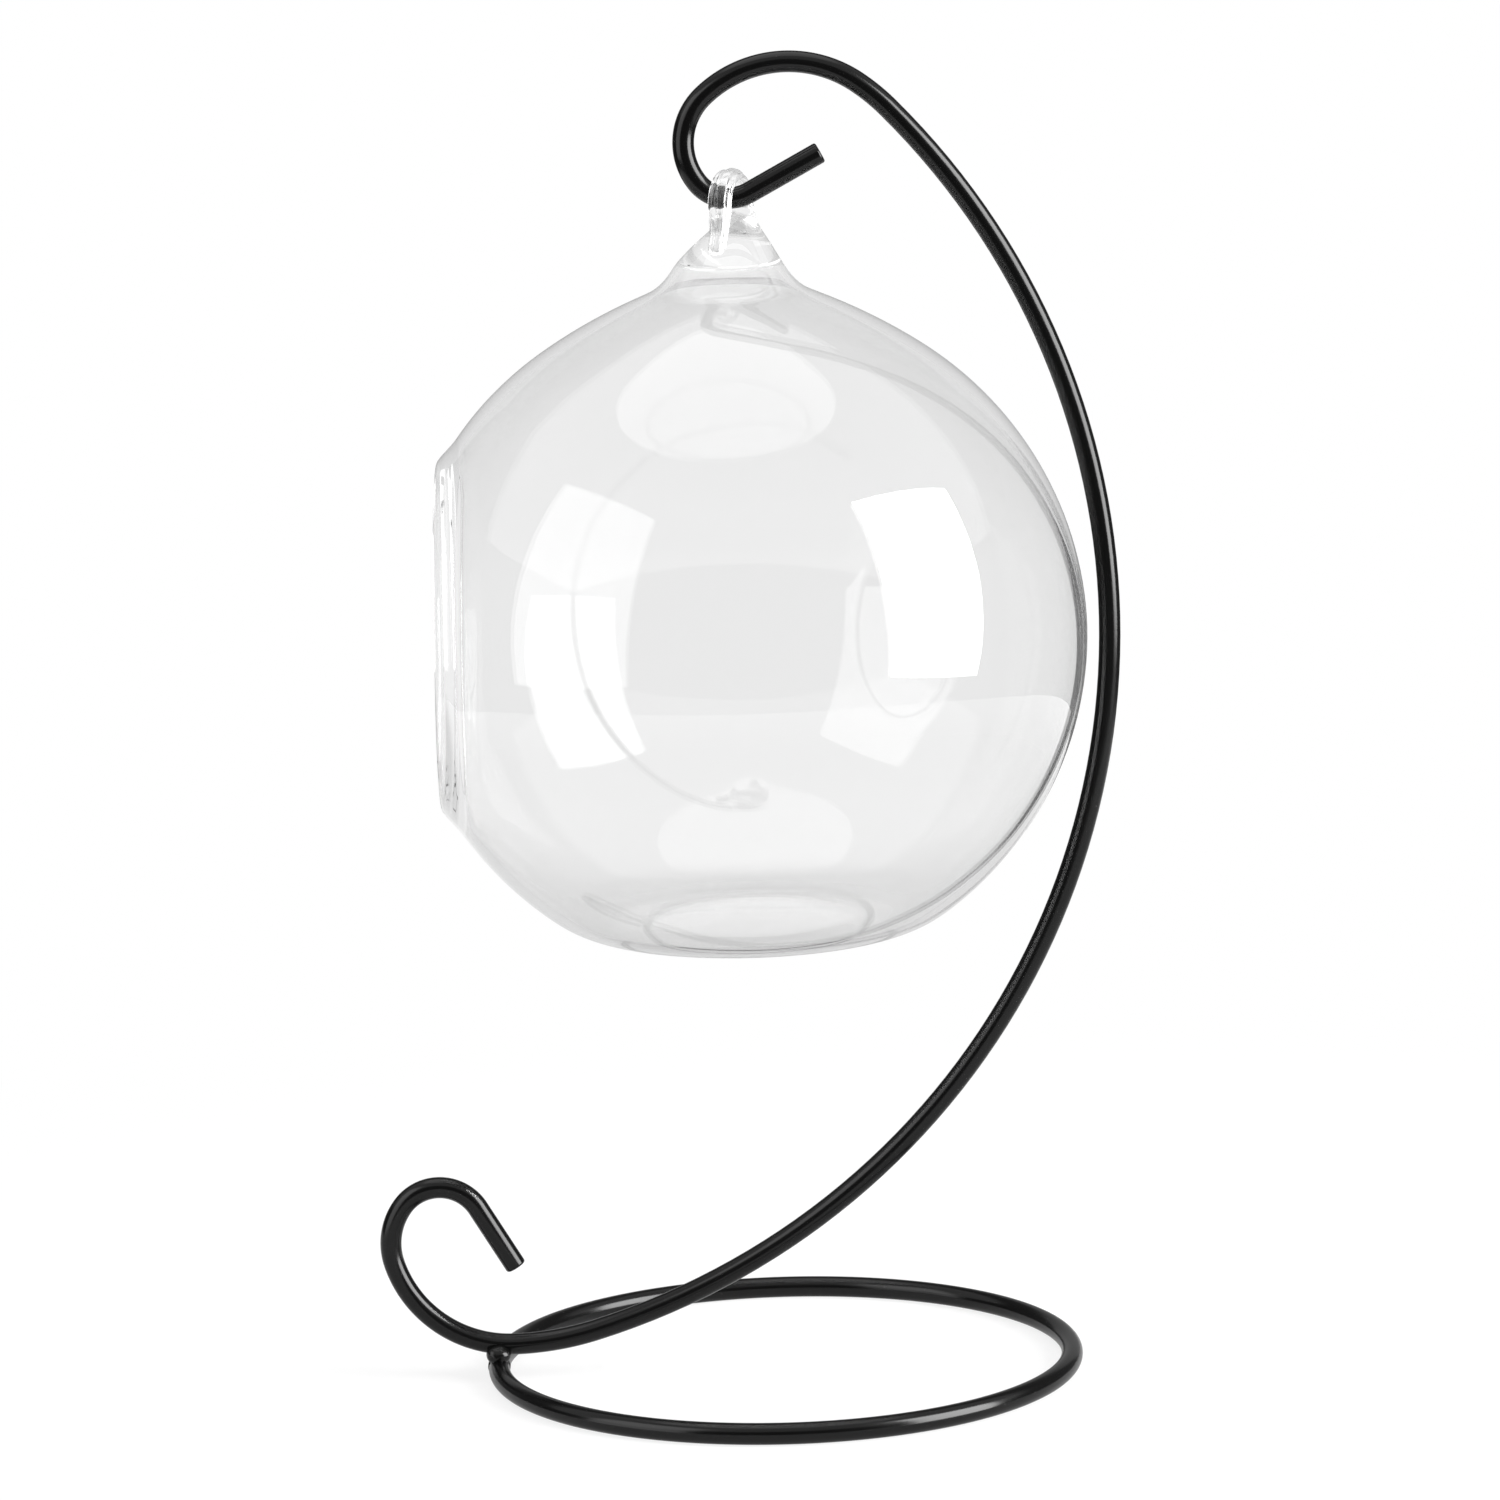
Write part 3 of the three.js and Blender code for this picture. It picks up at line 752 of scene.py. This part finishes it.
def pale_floor():
    """A round matt white floor. Straight on it is white, with a faint shadow of the object near the middle.
    In reflections its glow carries painted shade: darkest under the object, less dark around it and white
    farther out."""
    material, tree = new_material("matt white paper floor")
    place = add(tree, "ShaderNodeTexCoord", {}).outputs["Object"]
    distance = add(tree, "ShaderNodeVectorMath", {0: place}, operation="LENGTH").outputs["Value"]
    far = add(
        tree,
        "ShaderNodeMapRange",
        {"Value": distance, "From Min": 0.08, "From Max": 0.3, "To Min": 0.82, "To Max": 1.0},
        interpolation_type="SMOOTHSTEP",
    )
    white = add(
        tree,
        "ShaderNodeMath",
        {0: far.outputs["Result"], 1: white_for_sight(tree, 1.0)},
        operation="MULTIPLY",
    )
    paper = add(tree, "ShaderNodeBsdfDiffuse", {"Color": linear("#fafafa")})
    # Painted shade for reflections: the floor's glow is turned down by up to 0.3 within 0.45 m of the middle
    painted_shade_ring = add(
        tree,
        "ShaderNodeMapRange",
        {"Value": distance, "From Min": 0.2, "From Max": 0.45, "To Min": 0.3, "To Max": 0.0},
        interpolation_type="SMOOTHSTEP",
    )
    # Painted shadow for reflections: the glow is turned down by a further 0.18 right under the object
    painted_shadow = add(
        tree,
        "ShaderNodeMapRange",
        {"Value": distance, "From Min": 0.06, "From Max": 0.16, "To Min": 0.18, "To Max": 0.0},
        interpolation_type="SMOOTHSTEP",
    )
    painted_shade = add(
        tree, "ShaderNodeMath", {0: painted_shade_ring.outputs["Result"], 1: painted_shadow.outputs["Result"]}, operation="ADD"
    )
    # Only reflections get this painted shade; straight on, the floor keeps its full glow
    path = add(tree, "ShaderNodeLightPath", {})
    painted_shade_mirrored = add(
        tree,
        "ShaderNodeMath",
        {0: painted_shade.outputs["Value"], 1: path.outputs["Is Glossy Ray"]},
        operation="MULTIPLY",
    )
    strength = add(tree, "ShaderNodeMath", {0: 1.0, 1: painted_shade_mirrored.outputs["Value"]}, operation="SUBTRACT")
    glow = add(
        tree, "ShaderNodeEmission", {"Color": linear("#ffffff"), "Strength": strength.outputs["Value"]}
    )
    shader = add(
        tree,
        "ShaderNodeMixShader",
        {0: white.outputs["Value"], 1: paper.outputs["BSDF"], 2: glow.outputs["Emission"]},
    )
    add(tree, "ShaderNodeOutputMaterial", {"Surface": shader.outputs["Shader"]})

    bm = bmesh.new()
    bmesh.ops.create_circle(bm, cap_ends=True, segments=96, radius=FLOOR_RADIUS)
    mesh = bpy.data.meshes.new("floor")
    bm.to_mesh(mesh)
    bm.free()
    floor = bpy.data.objects.new("floor", mesh)
    bpy.context.scene.collection.objects.link(floor)
    floor.data.materials.append(material)


def white_world():
    world = bpy.data.worlds.new("white studio")
    bpy.context.scene.world = world
    world.use_nodes = True
    tree = world.node_tree
    tree.nodes.clear()
    room = add(tree, "ShaderNodeBackground", {"Color": linear("#ffffff"), "Strength": ROOM_BRIGHTNESS})
    backdrop = add(tree, "ShaderNodeBackground", {"Color": linear("#ffffff"), "Strength": 1.0})
    seen = white_for_sight(tree, ROOM_MIRRORED)
    shader = add(
        tree,
        "ShaderNodeMixShader",
        {0: seen, 1: room.outputs["Background"], 2: backdrop.outputs["Background"]},
    )
    add(tree, "ShaderNodeOutputWorld", {"Surface": shader.outputs["Shader"]})


def dim_through_glass(lamp, share):
    """Leaves a lamp this share of its brightness on ways that lead through glass, where its full light would
    turn the lip of the mouth to glare."""
    lamp.use_nodes = True
    tree = lamp.node_tree
    tree.nodes.clear()
    path = add(tree, "ShaderNodeLightPath", {})
    left = add(
        tree,
        "ShaderNodeMapRange",
        {"Value": path.outputs["Transmission Depth"], "To Min": 1.0, "To Max": share},
    )
    glow = add(tree, "ShaderNodeEmission", {"Color": linear("#ffffff"), "Strength": left.outputs["Result"]})
    add(tree, "ShaderNodeOutputLight", {"Surface": glow.outputs["Emission"]})


def softbox(name, away, across, upright, brightness, shape="RECTANGLE"):
    """An area lamp at a place measured from the middle of the globe, with the sides of its face as vectors.
    Seen from its lit side, across runs to the left. brightness is that of the face."""
    lamp = bpy.data.lights.new(name, "AREA")
    lamp.shape = shape
    lamp.size = across.length
    lamp.size_y = upright.length
    face = lamp.size * lamp.size_y * (math.pi / 4 if shape == "ELLIPSE" else 1)
    lamp.energy = 4 * face * brightness
    box = bpy.data.objects.new(name, lamp)
    back = across.cross(upright)
    turn = Matrix((across.normalized(), upright.normalized(), back.normalized())).transposed()
    box.matrix_world = Matrix.Translation(globe_middle + away) @ turn.to_4x4()
    bpy.context.scene.collection.objects.link(box)
    return box


def photo_camera():
    lens = bpy.data.cameras.new("photo camera")
    lens.sensor_width = 36
    lens.lens = CAMERA_LENS
    camera = bpy.data.objects.new("photo camera", lens)
    aim = Matrix.Rotation(math.radians(90 - CAMERA_PITCH), 4, "X")
    roll = Matrix.Rotation(math.radians(CAMERA_ROLL), 4, "Z")
    camera.matrix_world = Matrix.Translation(CAMERA_PLACE) @ aim @ roll
    bpy.context.scene.collection.objects.link(camera)
    bpy.context.scene.camera = camera


wire_coat = powder_coat("satin black powder coat on iron wire", "#050505", 0.7, 0.05)
weld_coat = powder_coat("satin black powder coat over weld metal", "#070707", 0.5, 0.08)
bent_arm(wire_coat)
base_ring(wire_coat)
ring_seam(weld_coat)
weld_bead("weld_bead_front", weld_coat)
weld_bead("weld_bead_rear", weld_coat)
glass_vase(blown_glass())

photo_camera()
white_world()
pale_floor()
softbox(
    "left softbox",
    away=Vector((-0.663, -0.392, 0.290)),
    across=Vector((0.323, -0.541, 0.016)),
    upright=Vector((0.112, 0.092, 0.860)),
    brightness=1.3,
)
right_softbox = softbox(
    "right softbox",
    away=Vector((0.817, -0.293, 0.239)),
    across=Vector((0.367, 0.507, -0.068)),
    upright=Vector((-0.209, 0.260, 0.806)),
    brightness=9.0,
)
dim_through_glass(right_softbox.data, RIGHT_THROUGH_GLASS)
softbox(
    "top softbox",
    away=Vector((-0.03, 0.05, 0.8)),
    across=Vector((0.80, 0, 0)),
    upright=Vector((0, 0.78, 0)),
    brightness=0.7,
    shape="ELLIPSE",
)
softbox(
    "ceiling",
    away=Vector((0, -0.68, 1.6)),
    across=Vector((9.0, 0, 0)),
    upright=Vector((0, 3.74, 0)),
    brightness=0.42,
)
# The backdrop shows only in reflections
backdrop = softbox(
    "backdrop",
    away=Vector((0, 1.4, 0.25)),
    across=Vector((-1.6, 0, 0)),
    upright=Vector((0, 0, 0.76)),
    brightness=0.18,
)
backdrop.visible_camera = False
backdrop.visible_diffuse = False
backdrop.visible_transmission = False
bpy.context.scene.view_settings.view_transform = "Standard"
